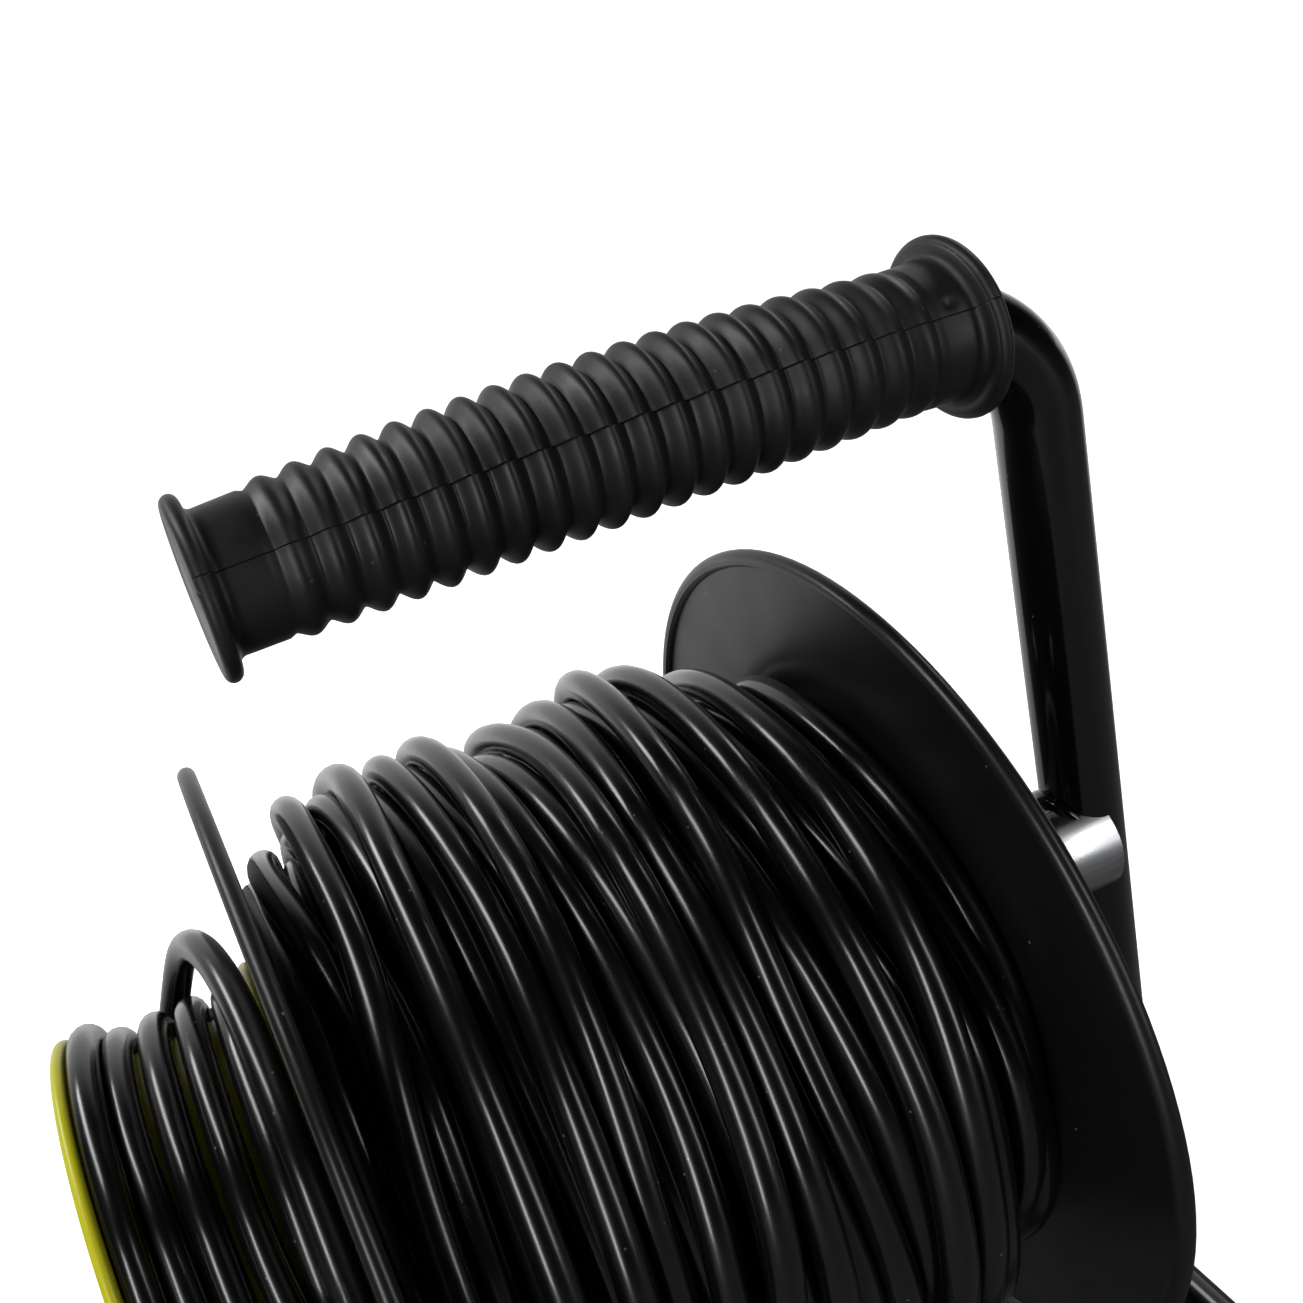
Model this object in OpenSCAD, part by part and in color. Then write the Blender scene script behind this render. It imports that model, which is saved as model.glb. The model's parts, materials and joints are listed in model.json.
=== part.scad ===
// Extension cord reel: a two-flange drum with its cord, a small lime spool with the plug lead,
// an axle, and a bent steel tube frame with a rubber grip.
// Millimetres, +Z up, drum axis along Y, front at -Y. The origin is on the floor, under the
// middle of the reel. "s" is a distance along the drum axis, 0 at the front flange's outer face.
// Angles round the drum start at +X and grow towards +Z.

/* [Drum] */
// Outer radius of the two drum flanges
flange_r = 95; // [86:1:115]
// Overall width of the drum, over both flanges
drum_w = 137; // [112:1:170]
// Thickness of a flange's web
web_t = 2.5; // [2:0.1:4]
// Thickness of a flange at its rim
rim_t = 4; // [3:0.1:6]
// Outer radius of the drum barrel
barrel_r = 45; // [42:1:54]
// Wall of the drum barrel
barrel_wall = 3; // [2:0.1:4]

/* [Cord] */
// Diameter of both cords
cord_d = 7; // [6:0.1:9]
// Outer radius of the wound main cord
winding_r = 78; // [60:1:80]

/* [Lead spool] */
// Outer radius of the lime spool
spool_r = 50.5; // [50:0.5:54]
// Width of the lime spool, in front of the drum
spool_w = 45; // [40:1:50]
// Radius of the spool's core, which the lead lies on
core_r = 41.5; // [40:0.5:43]
// Thickness of a spool flange
spool_t = 3; // [2:0.1:4]

/* [Frame] */
// Diameter of the steel tube
tube_d = 18; // [16:0.5:22]
// Wall of the steel tube
tube_wall = 1.5; // [1:0.1:2.5]
// Height of the drum axis over the floor
axis_z = 154; // [146:1:190]
// Height of the grip's axis over the drum axis
grip_h = 135; // [134:1:190]
// Gap from the drum to the upright at the drum axis
upright_gap = 49; // [34:1:60]
// Bend radius of the tube, to its centre line
bend_r = 28; // [16:1:34]
// Overall width of the base loop
base_w = 200; // [180:1:260]
// Overall length of the base loop
base_l = 236; // [200:1:300]
// Bend radius of the base loop's corners
corner_r = 34; // [26:1:50]
// Thickness of a rubber foot under the tube
foot_t = 3; // [2:0.5:5]

/* [Grip] */
// Length of the rubber grip
grip_l = 163; // [125:1:170]
// Radius over the ribs at the middle of the grip
grip_r = 17.1; // [15.5:0.1:19]
// How much smaller the ribs are at the ends of the grip
grip_barrel = 2.3; // [0:0.1:2.6]
// Radius of the grip's plain necks
neck_r = 14.4; // [12.5:0.1:15]
// Number of ribs
rib_count = 20; // [12:1:22]
// Depth of the ribs
rib_depth = 2.2; // [1:0.1:2.5]
// Length of the plain neck at the free end
neck_front_l = 11.5; // [6:0.5:16]
// Length of the plain neck at the bend
neck_rear_l = 9; // [6:0.5:16]
// Radius of the flange at the free end
guard_front_r = 18.4; // [16.5:0.1:21]
// Radius of the flange at the bend
guard_rear_r = 19.4; // [17:0.1:23]
// Thickness of the grip's two end flanges
guard_t = 3.6; // [2:0.1:4]

/* [Axle] */
// Diameter of the axle inside the drum
axle_d = 14; // [11.5:0.5:17]
// Diameter of the thick part of the axle behind the drum
stub_d = 26; // [24:1:30]
// Running clearance round a shaft, on the radius
run_gap = 0.08; // [0.05:0.01:0.1]
// Axial play of the drum at each end
end_play = 0.3; // [0.2:0.1:0.6]

/* [Crank] */
// Distance of the knob from the drum axis
crank_r = 32; // [30:0.5:32.5]
// Length of the knob
knob_l = 44; // [36:1:60]
// Largest radius of the knob
knob_r = 13; // [11:0.5:15]
// Diameter of the knob's pin
pin_d = 8; // [6:0.5:9]

/* [Plug and socket] */
// Diameter of the plug and of the socket
plug_d = 38; // [36:1:39]
// Distance from the drum axis to the axis of the parked plug and socket
park_r = 72; // [71:0.5:74]
// Travel of the reset button
button_travel = 3; // [2:0.5:4]

/* [Hidden] */

$fn = 96;
eps = 0.01;
fit_gap = 0.2;
lime = "#c9dc1e";
black = "#17181a";
steel = "#b9bcc0";

// places along the drum axis
s_bush_head = 2.5;
s_rear_head = drum_w + s_bush_head;
washer_t = 1.5;
s_shoulder = s_rear_head + 2 * end_play + washer_t;
s_axle_end = -s_bush_head - end_play;
s_spool_front = -spool_w;
s_split = -spool_w / 2;

// the frame
tube_r = tube_d / 2;
s_upright = drum_w + upright_gap + tube_r;
base_z = foot_t + tube_r;
s_base_rear = s_upright + tube_r;
s_base_front = s_base_rear - base_l;
knob_gap = 1;
s_knob_seat = s_spool_front - knob_gap;
s_knob_end = s_knob_seat - knob_l;
// the reel is centred between the front of the knob and the back of the base
drum_y0 = -(s_knob_end + s_base_rear) / 2;
grip_z = axis_z + grip_h;
grip_back = 8;
s_grip_end = s_upright - tube_r - grip_back;
s_grip_start = s_grip_end - grip_l;
grip_wall = 6;

// hubs, bushes and screws
hub_r = axle_d / 2 + 7;
bush_r = axle_d / 2 + 3;
bush_head_r = hub_r;
hub_l = 20;
bush_l = 17;
boss_l = 8;
axle_screw_d = 8;
axle_screw_l = 20;
tie_d = 5;
tie_r = barrel_r - barrel_wall - 8;
tie_angles = [45, 135, 225, 315];
boss_r = 6;
nut_af = 8;
nut_t = 4;
spool_screw_d = 4;
spool_screw_r = 31;
spool_angles = [30, 150, 210, 330];
core_wall = 3;
cap_hole_r = 15;
cap_r = cap_hole_r + 1.5;
cap_edge = 1;
cap_h = 3.2;
cap_skirt = 8;
stem_r = pin_d / 2 - 1;
crank_boss_r = stem_r + 2.9;
nut_seat = 12;
pin_head_s = 4;
pin_head_t = 2;
knob_cavity_r = pin_d / 2 + 2.6;
cutout_r = 25;
cutout_angle = 180;
cutout_body_d = 13;
cutout_body_l = 17;
neck_d = 10;
neck_l = 4.5;
lock_t = 3;
button_d = 7;
button_l = 9;
button_out = 8;

// the terminal box inside the barrel
box_w = 36;
box_h = 19;
box_z = -hub_r - 22;
box_s = 12;
box_l = 62;
box_wall = 2;
box_screw_x = 8;
box_screw_d = 3;
block_s = 8;
block_l = 24;
block_h = 10;
block_inset = 6;
way_x = [10, 18, 26];
way_s = [6, 18];
clamp_s = [40, 50];
clamp_h = cord_d;
clamp_l = 6;
clamp_y = box_h - box_wall - clamp_h;

// the wound cords
coil_play = 0.5;
coil_shoulder = 8;
lead_coil_r = core_r + cord_d + 0.6;
main_hole_s = 18;
main_hole_r = cord_d / 2 + 3;
lead_hole_s = -12;
lead_hole_r = cord_d / 2 + 1;
cord_sides = 10;

// parked plug and socket
socket_angle = 218;
plug_angle = 342;
notch_angle = 289;
notch_span = 26;
notch_floor_r = 79;
park_s = -plug_d / 2 - 3;
socket_front = -48;
plug_front = -34;
socket_l = 46;
plug_l = 36;
cone_l = 14;
recess_wall = 2.5;
recess_l = 17;
pin_x = 9.5;
contact_r = 2.4;
contact_l = 19;
earth_w = 4;
clip_r = plug_d / 2 + 0.1;
clip_wall = 2.2;
clip_l = 12;
clip_foot = 16;
clip_screw_d = 4;
// where each clip holds its connector, along the connector from its nearest point to the axis
clip_places = [[socket_angle, -24], [plug_angle, 14]];
boot_l = 24;
boot_r = cord_d / 2 + 3;
boot_bore = 6;

// routes of the two loose cord ends: angle round the drum, distance from its axis, s
main_route = [
  [241, 78, -22], [245, 80.5, -22], [250, 83.5, -21], [256, 86, -19], [263, 87, -16],
  [270, 87, -13], [278, 87, -7], [286, 87, 0], [294, 87, 6], [302, 86, 10],
  [310, 85, 12], [318, 83, 13], [326, 81, 13], [334, 79, 13], [342, 77, 13], [348, 75, 13]
];
lead_route = [
  [316, 80, -22], [311.5, 83.5, -22], [306, 86.5, -22], [300.5, 89, -22], [295, 90.5, -22],
  [289.5, 91, -22], [284, 90.5, -22], [278.5, 89, -22], [273, 86.5, -22], [267.5, 83.2, -22.5],
  [262, 79, -23.5], [257, 74, -25], [251.5, 68, -27], [246, 62.8, -28.5], [239, 57.5, -30],
  [230, 52.8, -31.5], [220, 50, -32], [209, 48, -32], [198, 46.5, -32], [187, 46, -32]
];

// ---- helpers -----------------------------------------------------------------------------

// children at s on the drum axis, their +Z along +Y
module on_axis(s) {
  translate([0, drum_y0 + s, axis_z]) rotate([-90, 0, 0]) children();
}

// inside on_axis: children at an angle round the axis, a distance r away from it
module at_angle(a, r) {
  rotate([0, 0, -a]) translate([r, 0, 0]) children();
}

// children at an angle and a distance: +X away from the axis, +Z along the tangent
module at_rim(a, r, s) {
  translate([0, drum_y0 + s, axis_z]) rotate([0, -a, 0]) translate([r, 0, 0]) children();
}

module ring(r_out, r_in, h) {
  difference() {
    cylinder(r = r_out, h = h);
    translate([0, 0, -eps]) cylinder(r = r_in, h = h + 2 * eps);
  }
}

// a straight piece of tube along +Z
module straight_tube(l) {
  ring(tube_r, tube_r - tube_wall, l);
}

// a bend of the tube about the Z axis, from angle 0
module bent_tube(r, a) {
  rotate_extrude(angle = a) translate([r, 0]) difference() {
    circle(r = tube_r);
    circle(r = tube_r - tube_wall);
  }
}

module pan_head(r, h) {
  rotate_extrude() intersection() {
    translate([0, -r * 1.5 + h]) circle(r = r * 1.5);
    square([r, h]);
  }
}

module cross_slot(l, w, h) {
  translate([-l / 2, -w / 2, -h]) cube([l, w, h + 1]);
  translate([-w / 2, -l / 2, -h]) cube([w, l, h + 1]);
}

// a point of a cord's route in the reel's frame
function route_point(p) = [
  p[1] * cos(p[0]),
  drum_y0 + p[2],
  axis_z + p[1] * sin(p[0])
];
function unit(v) = v / norm(v);
function route_dir(pts, i) = unit(pts[min(i + 1, len(pts) - 1)] - pts[max(i - 1, 0)]);

// a cord swept along its route, as one closed solid
module swept_cord(route, d, sides) {
  pts = [for (p = route) route_point(p)];
  n = len(pts);
  rings = [for (i = [0 : n - 1])
    let (t = route_dir(pts, i), u = unit(cross(t, [0, 1, 0])), v = cross(t, u))
    for (k = [0 : sides - 1])
      pts[i] + d / 2 * (cos(k * 360 / sides) * u + sin(k * 360 / sides) * v)];
  walls = [for (i = [0 : n - 2], k = [0 : sides - 1])
    let (a = i * sides + k, b = i * sides + (k + 1) % sides)
    for (f = [[a, b, b + sides], [a, b + sides, a + sides]]) f];
  caps = [
    [for (k = [sides - 1 : -1 : 0]) k],
    [for (k = [0 : sides - 1]) (n - 1) * sides + k]
  ];
  polyhedron(points = rings, faces = concat(walls, caps));
}

// ---- frame -------------------------------------------------------------------------------

module at_bend() {
  translate([0, drum_y0 + s_upright - bend_r, grip_z - bend_r]) rotate([90, 0, 90]) children();
}

module handle_tube() {
  color(black) {
    translate([0, drum_y0 + s_grip_start + grip_wall, grip_z]) rotate([-90, 0, 0])
      straight_tube(s_upright - bend_r - s_grip_start - grip_wall);
    at_bend() bent_tube(bend_r, 90);
  }
}

// the upright stands on the rear of the base loop and carries the axle
module upright_tube() {
  color(black) difference() {
    translate([0, drum_y0 + s_upright, base_z]) straight_tube(grip_z - bend_r - base_z);
    translate([-tube_d, drum_y0 + s_upright, base_z]) rotate([0, 90, 0])
      cylinder(r = tube_r, h = 2 * tube_d);
  }
}

// half of the base loop: from the middle of one long side, round one end, to the other side
module half_loop() {
  half_l = base_l / 2 - tube_r - corner_r;
  half_w = base_w / 2 - tube_r - corner_r;
  for (side = [-1, 1]) {
    translate([side * (half_w + corner_r), 0, 0]) rotate([-90, 0, 0]) straight_tube(half_l);
    translate([side * half_w, half_l, 0]) mirror([side < 0 ? 1 : 0, 0, 0])
      bent_tube(corner_r, 90);
  }
  translate([-half_w, half_l + corner_r, 0]) rotate([0, 90, 0]) straight_tube(2 * half_w);
}

module base_rear_tube() {
  color(black) translate([0, drum_y0 + (s_base_front + s_base_rear) / 2, base_z]) half_loop();
}

module base_front_tube() {
  color(black) translate([0, drum_y0 + (s_base_front + s_base_rear) / 2, base_z])
    mirror([0, 1, 0]) half_loop();
}

// four rubber saddles under the long sides of the loop
module base_feet() {
  foot_l = 24;
  foot_w = tube_d + 4;
  reach = base_l / 2 - tube_r - corner_r - foot_l / 2;
  color("#222222") for (x = [-1, 1], y = [-1, 1])
    translate([x * (base_w / 2 - tube_r), drum_y0 + (s_base_front + s_base_rear) / 2 + y * reach, 0])
      difference() {
        translate([-foot_w / 2, -foot_l / 2, 0]) cube([foot_w, foot_l, base_z]);
        translate([0, -foot_l, base_z]) rotate([-90, 0, 0]) cylinder(r = tube_r, h = 2 * foot_l);
      }
}

// radius over rib k, largest in the middle of the grip
function grip_ridge(k) = grip_r - grip_barrel * pow((2 * k - rib_count + 1) / (rib_count - 1), 2);

module rubber_grip() {
  pitch = (grip_l - 2 * guard_t - neck_front_l - neck_rear_l) / rib_count;
  rib_tip = pitch * 0.3;
  rear_s = grip_l - guard_t;
  color("#1c1c1d") difference() {
    translate([0, drum_y0 + s_grip_start, grip_z]) rotate([-90, 0, 0]) difference() {
      rotate_extrude() {
        square([neck_r, grip_l]);
        square([guard_front_r, guard_t]);
        translate([0, rear_s]) square([guard_rear_r, guard_t]);
        for (k = [0 : rib_count - 1])
          translate([0, guard_t + neck_front_l + (k + 0.5) * pitch]) {
            translate([0, -pitch / 2]) square([grip_ridge(k) - rib_depth, pitch]);
            translate([0, -rib_tip]) square([grip_ridge(k) - rib_tip, 2 * rib_tip]);
            translate([grip_ridge(k) - rib_tip, 0]) circle(r = rib_tip, $fn = 32);
          }
      }
      translate([0, 0, grip_wall]) cylinder(r = tube_r, h = grip_l);
    }
    // the tube starts to bend inside the grip
    at_bend() rotate_extrude(angle = 90) translate([bend_r, 0]) circle(r = tube_r);
  }
}

// ---- axle --------------------------------------------------------------------------------

module axle() {
  color(steel) difference() {
    union() {
      on_axis(s_axle_end) cylinder(d = axle_d, h = s_upright - s_axle_end);
      on_axis(s_shoulder) cylinder(d = stub_d, h = s_upright - s_shoulder);
    }
    translate([0, drum_y0 + s_upright, axis_z - stub_d]) cylinder(r = tube_r, h = 2 * stub_d);
    on_axis(s_axle_end - eps) cylinder(d = axle_screw_d, h = axle_screw_l + 2);
  }
}

module thrust_washer() {
  color("#e6e3da") on_axis(s_rear_head + end_play) ring(stub_d / 2, axle_d / 2 + run_gap, washer_t);
}

module axle_washer() {
  color(steel) on_axis(s_axle_end - washer_t)
    ring(bush_head_r - 1, axle_screw_d / 2 + fit_gap, washer_t);
}

module axle_screw() {
  head_h = 5.3;
  head_r = 7.5;
  color(steel) on_axis(s_axle_end - washer_t) {
    cylinder(d = axle_screw_d, h = axle_screw_l);
    translate([0, 0, -head_h]) cylinder(r = head_r, h = head_h, $fn = 6);
  }
}

// ---- drum --------------------------------------------------------------------------------

// outline of a flange: web, rounded rim, hub and locating ring; s grows inwards
module flange_profile() {
  rim_w = 3;
  seat_r = barrel_r - barrel_wall;
  translate([bush_r, 0]) square([flange_r - rim_w / 2 - bush_r, web_t]);
  translate([flange_r - rim_w, 0]) square([rim_w - rim_t / 2, rim_t]);
  translate([flange_r - rim_t / 2, rim_t / 2]) circle(r = rim_t / 2);
  translate([bush_r, 0]) square([hub_r - bush_r, hub_l]);
  translate([seat_r - fit_gap - 2, 0]) square([2, web_t + 6]);
}

module flange_blank() {
  rotate_extrude() flange_profile();
  for (a = tie_angles) at_angle(a, tie_r) cylinder(r = boss_r, h = web_t + boss_l);
}

module tie_holes(h) {
  for (a = tie_angles) at_angle(a, tie_r) translate([0, 0, -eps])
    cylinder(r = tie_d / 2 + fit_gap, h = h);
}

module front_flange() {
  color(black) on_axis(0) difference() {
    union() {
      flange_blank();
      // block that the terminal box is screwed to
      translate([-14, -box_z - box_h + 2, 0]) cube([28, box_h - boss_r, box_s]);
    }
    tie_holes(web_t + boss_l + 1);
    for (a = tie_angles) at_angle(a, tie_r) translate([0, 0, -eps])
      cylinder(r = nut_af / sqrt(3) + fit_gap, h = nut_t + 0.5, $fn = 6);
    for (a = spool_angles) at_angle(a, spool_screw_r) translate([0, 0, -eps])
      cylinder(d = spool_screw_d, h = web_t + 1);
    for (x = [-1, 1]) translate([x * box_screw_x, -box_z - box_h / 2, box_s - 8])
      cylinder(d = box_screw_d, h = 9);
    // notch in the rim that the main cord leaves the drum through
    rotate([0, 0, -notch_angle - notch_span / 2]) rotate_extrude(angle = notch_span)
      translate([notch_floor_r, -1]) square([flange_r - notch_floor_r + 1, rim_t + 2]);
    for (c = clip_places) at_angle(c[0], park_r) translate([0, -c[1], -eps])
      cylinder(d = clip_screw_d, h = web_t + 1);
  }
}

module rear_flange() {
  color(black) on_axis(drum_w) mirror([0, 0, 1]) difference() {
    flange_blank();
    tie_holes(web_t + boss_l + 1);
  }
}

module drum_barrel() {
  color(black) difference() {
    on_axis(web_t) ring(barrel_r, barrel_r - barrel_wall, drum_w - 2 * web_t);
    on_axis(main_hole_s) rotate([0, -90, 0]) cylinder(r = main_hole_r, h = barrel_r + 5);
  }
}

module bush() {
  ring(bush_r, axle_d / 2 + run_gap, bush_l);
  translate([0, 0, -s_bush_head]) ring(bush_head_r, axle_d / 2 + run_gap, s_bush_head);
}

module front_bush() {
  color("#e6e3da") on_axis(0) bush();
}

module rear_bush() {
  color("#e6e3da") on_axis(drum_w) mirror([0, 0, 1]) bush();
}

module tie_screws() {
  color(steel) for (a = tie_angles) on_axis(drum_w) at_angle(a, tie_r) difference() {
    union() {
      pan_head(4.4, 3);
      translate([0, 0, -drum_w + 1]) cylinder(d = tie_d, h = drum_w - 1);
    }
    translate([0, 0, 3]) cross_slot(4.6, 0.9, 1.6);
  }
}

module tie_nuts() {
  color(steel) for (a = tie_angles) on_axis(0.4) at_angle(a, tie_r) difference() {
    cylinder(r = nut_af / sqrt(3), h = nut_t, $fn = 6);
    translate([0, 0, -eps]) cylinder(d = tie_d, h = nut_t + 2 * eps);
  }
}

// ---- lime spool --------------------------------------------------------------------------

module core_shell(h) {
  ring(core_r, core_r - core_wall, h);
  for (a = spool_angles) at_angle(a, spool_screw_r) cylinder(r = 4.5, h = h);
}

module screw_bores(h) {
  for (a = spool_angles) at_angle(a, spool_screw_r) translate([0, 0, -eps])
    cylinder(r = spool_screw_d / 2 + fit_gap, h = h + 2 * eps);
}

module rounded_disc(r, t) {
  rotate_extrude() {
    square([r - t / 2, t]);
    translate([r - t / 2, t / 2]) circle(r = t / 2);
  }
}

module spool_inner() {
  color(lime) difference() {
    union() {
      on_axis(-spool_t) rounded_disc(spool_r, spool_t);
      on_axis(s_split) core_shell(-s_split - spool_t / 2);
    }
    on_axis(-spool_w) cylinder(r = bush_head_r + 3, h = spool_w + 1);
    on_axis(s_split) screw_bores(-s_split);
    on_axis(lead_hole_s) rotate([0, -90, 0]) cylinder(r = lead_hole_r, h = core_r + 5);
  }
}

module spool_outer() {
  color(lime) difference() {
    union() {
      on_axis(s_spool_front) rounded_disc(spool_r, spool_t);
      on_axis(s_spool_front) core_shell(s_split - s_spool_front);
      on_axis(s_spool_front) at_angle(270, crank_r) cylinder(r = crank_boss_r, h = nut_seat);
    }
    on_axis(s_spool_front - 1) cylinder(r = cap_hole_r, h = spool_w);
    on_axis(s_spool_front) screw_bores(s_split - s_spool_front);
    on_axis(s_spool_front - eps) at_angle(cutout_angle, cutout_r)
      cylinder(d = neck_d + fit_gap, h = spool_t + 1);
    on_axis(s_spool_front - eps) at_angle(270, crank_r) cylinder(r = stem_r + eps, h = nut_seat + 1);
  }
}

module spool_screws() {
  color(steel) for (a = spool_angles) on_axis(s_spool_front) at_angle(a, spool_screw_r) difference() {
    union() {
      mirror([0, 0, 1]) pan_head(4, 2.4);
      cylinder(d = spool_screw_d, h = spool_w + web_t + 1);
    }
    translate([0, 0, -2.4]) mirror([0, 0, 1]) cross_slot(4, 0.8, 1.4);
  }
}

// domed cap that snaps into the spool over the axle's end
module hub_cap() {
  rise = cap_h - cap_edge;
  dome_r = (cap_r * cap_r + rise * rise) / (2 * rise);
  color(black) on_axis(s_spool_front) {
    rotate_extrude() {
      translate([0, -cap_edge]) square([cap_r, cap_edge]);
      intersection() {
        translate([0, dome_r - cap_h]) circle(r = dome_r);
        translate([0, -cap_h]) square([cap_r, cap_h]);
      }
    }
    translate([0, 0, -cap_edge]) ring(cap_hole_r - fit_gap, cap_hole_r - 2, cap_skirt + cap_edge);
  }
}

// ---- crank -------------------------------------------------------------------------------

module crank_pin() {
  shaft_s = pin_head_s + pin_head_t;
  color(steel) {
    on_axis(s_knob_end) at_angle(270, crank_r) {
      translate([0, 0, shaft_s]) cylinder(d = pin_d, h = knob_l + knob_gap - shaft_s);
      translate([0, 0, pin_head_s]) cylinder(d = pin_d + 4, h = pin_head_t);
    }
    on_axis(s_spool_front) at_angle(270, crank_r) cylinder(r = stem_r, h = nut_seat + 5);
  }
}

module crank_nut() {
  nut_h = 4.5;
  color(steel) on_axis(s_spool_front + nut_seat) at_angle(270, crank_r) difference() {
    cylinder(r = stem_r + 2.6, h = nut_h, $fn = 6);
    translate([0, 0, -eps]) cylinder(r = stem_r, h = nut_h + 2 * eps);
  }
}

// waisted handle that turns freely on its pin
module crank_knob() {
  edge = 3;
  waist_r = 42;
  color(black) on_axis(s_knob_end) at_angle(270, crank_r) difference() {
    rotate_extrude() difference() {
      union() {
        translate([0, edge]) square([knob_r, knob_l - 2 * edge]);
        square([knob_r - edge, knob_l]);
        for (z = [edge, knob_l - edge]) translate([knob_r - edge, z]) circle(r = edge);
      }
      translate([knob_r + waist_r - 2, knob_l / 2]) circle(r = waist_r);
    }
    translate([0, 0, -1]) cylinder(r = knob_cavity_r, h = 1 + pin_head_s + pin_head_t + end_play);
    cylinder(r = pin_d / 2 + run_gap, h = knob_l + 1);
  }
}

module knob_cap() {
  color("#2a2b2d") on_axis(s_knob_end) at_angle(270, crank_r) {
    cylinder(r = knob_cavity_r, h = 1.6);
    ring(knob_cavity_r, knob_cavity_r - 0.5, 3);
  }
}

// ---- overload cut-out --------------------------------------------------------------------

module thermal_cutout() {
  color("#2b2b2e") on_axis(s_spool_front) at_angle(cutout_angle, cutout_r) difference() {
    union() {
      translate([0, 0, -neck_l]) cylinder(d = neck_d, h = neck_l + spool_t + eps);
      translate([0, 0, spool_t]) cylinder(d = cutout_body_d, h = cutout_body_l);
    }
    translate([0, 0, -neck_l - 1])
      cylinder(r = button_d / 2 + end_play, h = neck_l + 1 + button_travel + button_l);
  }
}

module cutout_nut() {
  color(black) on_axis(s_spool_front - lock_t) at_angle(cutout_angle, cutout_r) difference() {
    cylinder(r = neck_d / 2 + 3, h = lock_t, $fn = 6);
    translate([0, 0, -eps]) cylinder(d = neck_d, h = lock_t + 2 * eps);
  }
}

module reset_button() {
  color("#c62020") on_axis(s_spool_front - button_out) at_angle(cutout_angle, cutout_r)
    cylinder(d = button_d, h = button_l);
}

// ---- terminal box ------------------------------------------------------------------------

// children in the box's own frame: X across, Y away from the axis, Z along s
module in_box(s) {
  on_axis(s) translate([-box_w / 2, -box_z - box_h, 0]) children();
}

module terminal_box() {
  color("#3a3b3e") in_box(box_s) difference() {
    cube([box_w, box_h, box_l]);
    translate([box_wall, -1, box_wall])
      cube([box_w - 2 * box_wall, box_h - box_wall + 1, box_l - 2 * box_wall]);
    translate([box_w / 2, clamp_y + 1, box_l / 2]) cylinder(d = cord_d + 1, h = box_l);
    for (x = [-1, 1]) translate([box_w / 2 + x * box_screw_x, box_h / 2, -eps])
      cylinder(r = box_screw_d / 2 + fit_gap, h = box_wall + 1);
  }
}

module terminal_lid() {
  color("#3a3b3e") in_box(box_s) translate([0, -box_wall, 0]) cube([box_w, box_wall, box_l]);
}

module terminal_block() {
  color("#e6e3da") in_box(box_s + block_s) difference() {
    translate([block_inset, box_h - box_wall - block_h, 0])
      cube([box_w - 2 * block_inset, block_h, block_l]);
    for (x = way_x) translate([x, 0, 0]) {
      translate([0, box_h - box_wall - 4, -eps]) cylinder(r = 1.7, h = block_l + 1);
      for (z = way_s) translate([0, box_h - box_wall - block_h - eps, z])
        rotate([-90, 0, 0]) cylinder(r = 1.6, h = 7);
    }
  }
}

module terminal_screws() {
  color("#b08d3c") in_box(box_s + block_s) for (x = way_x, z = way_s)
    translate([x, box_h - box_wall - block_h + 1, z]) rotate([-90, 0, 0]) cylinder(r = 1.5, h = 4);
}

module box_screws() {
  thread_l = 7;
  color(steel) in_box(0) for (x = [-1, 1])
    translate([box_w / 2 + x * box_screw_x, box_h / 2, box_s]) {
      translate([0, 0, -thread_l]) cylinder(d = box_screw_d, h = thread_l + box_wall);
      translate([0, 0, box_wall]) cylinder(d = 2 * box_screw_d, h = 2.2);
    }
}

// clamp bars that hold the two cords at the end of the terminal box
module cord_clamps() {
  bar_w = box_w - 2 * block_inset;
  color("#3a3b3e") in_box(box_s) for (z = clamp_s)
    translate([block_inset, clamp_y, z]) difference() {
      cube([bar_w, clamp_h, clamp_l]);
      translate([bar_w / 2, 1, -1]) cylinder(d = cord_d, h = clamp_l + 2);
    }
}

// ---- cords -------------------------------------------------------------------------------

// sleeve in a round wall, with a collar against the wall's inner side
module grommet(s, wall_r, wall, sleeve_r) {
  collar_r = sleeve_r + 1.5;
  collar_l = 6;
  seat_r = sqrt(pow(wall_r - wall, 2) - pow(collar_r, 2)) - fit_gap;
  color("#222222") on_axis(s) rotate([0, -90, 0]) difference() {
    union() {
      translate([0, 0, seat_r - collar_l]) cylinder(r = collar_r, h = collar_l);
      translate([0, 0, seat_r - collar_l]) cylinder(r = sleeve_r, h = wall_r - 1 - seat_r + collar_l);
    }
    cylinder(d = cord_d, h = wall_r);
  }
}

module main_grommet() {
  grommet(main_hole_s, barrel_r, barrel_wall, main_hole_r);
}

module lead_grommet() {
  grommet(lead_hole_s, core_r, core_wall, lead_hole_r);
}

// the wound main cord, its shoulders rounded where the turns lie against the flanges
module main_coil() {
  s0 = rim_t + coil_play;
  s1 = drum_w - rim_t - coil_play;
  shoulder_r = winding_r - coil_shoulder;
  color("#101012") on_axis(0) rotate_extrude() {
    translate([barrel_r, s0]) square([shoulder_r - barrel_r, s1 - s0]);
    translate([barrel_r, s0 + coil_shoulder])
      square([winding_r - barrel_r, s1 - s0 - 2 * coil_shoulder]);
    for (s = [s0 + coil_shoulder, s1 - coil_shoulder]) translate([shoulder_r, s])
      circle(r = coil_shoulder);
  }
}

module lead_coil() {
  color("#101012") on_axis(s_spool_front + spool_t + coil_play) rotate_extrude()
    translate([core_r, 0]) square([lead_coil_r - core_r, spool_w - 2 * spool_t - 2 * coil_play]);
}

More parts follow.
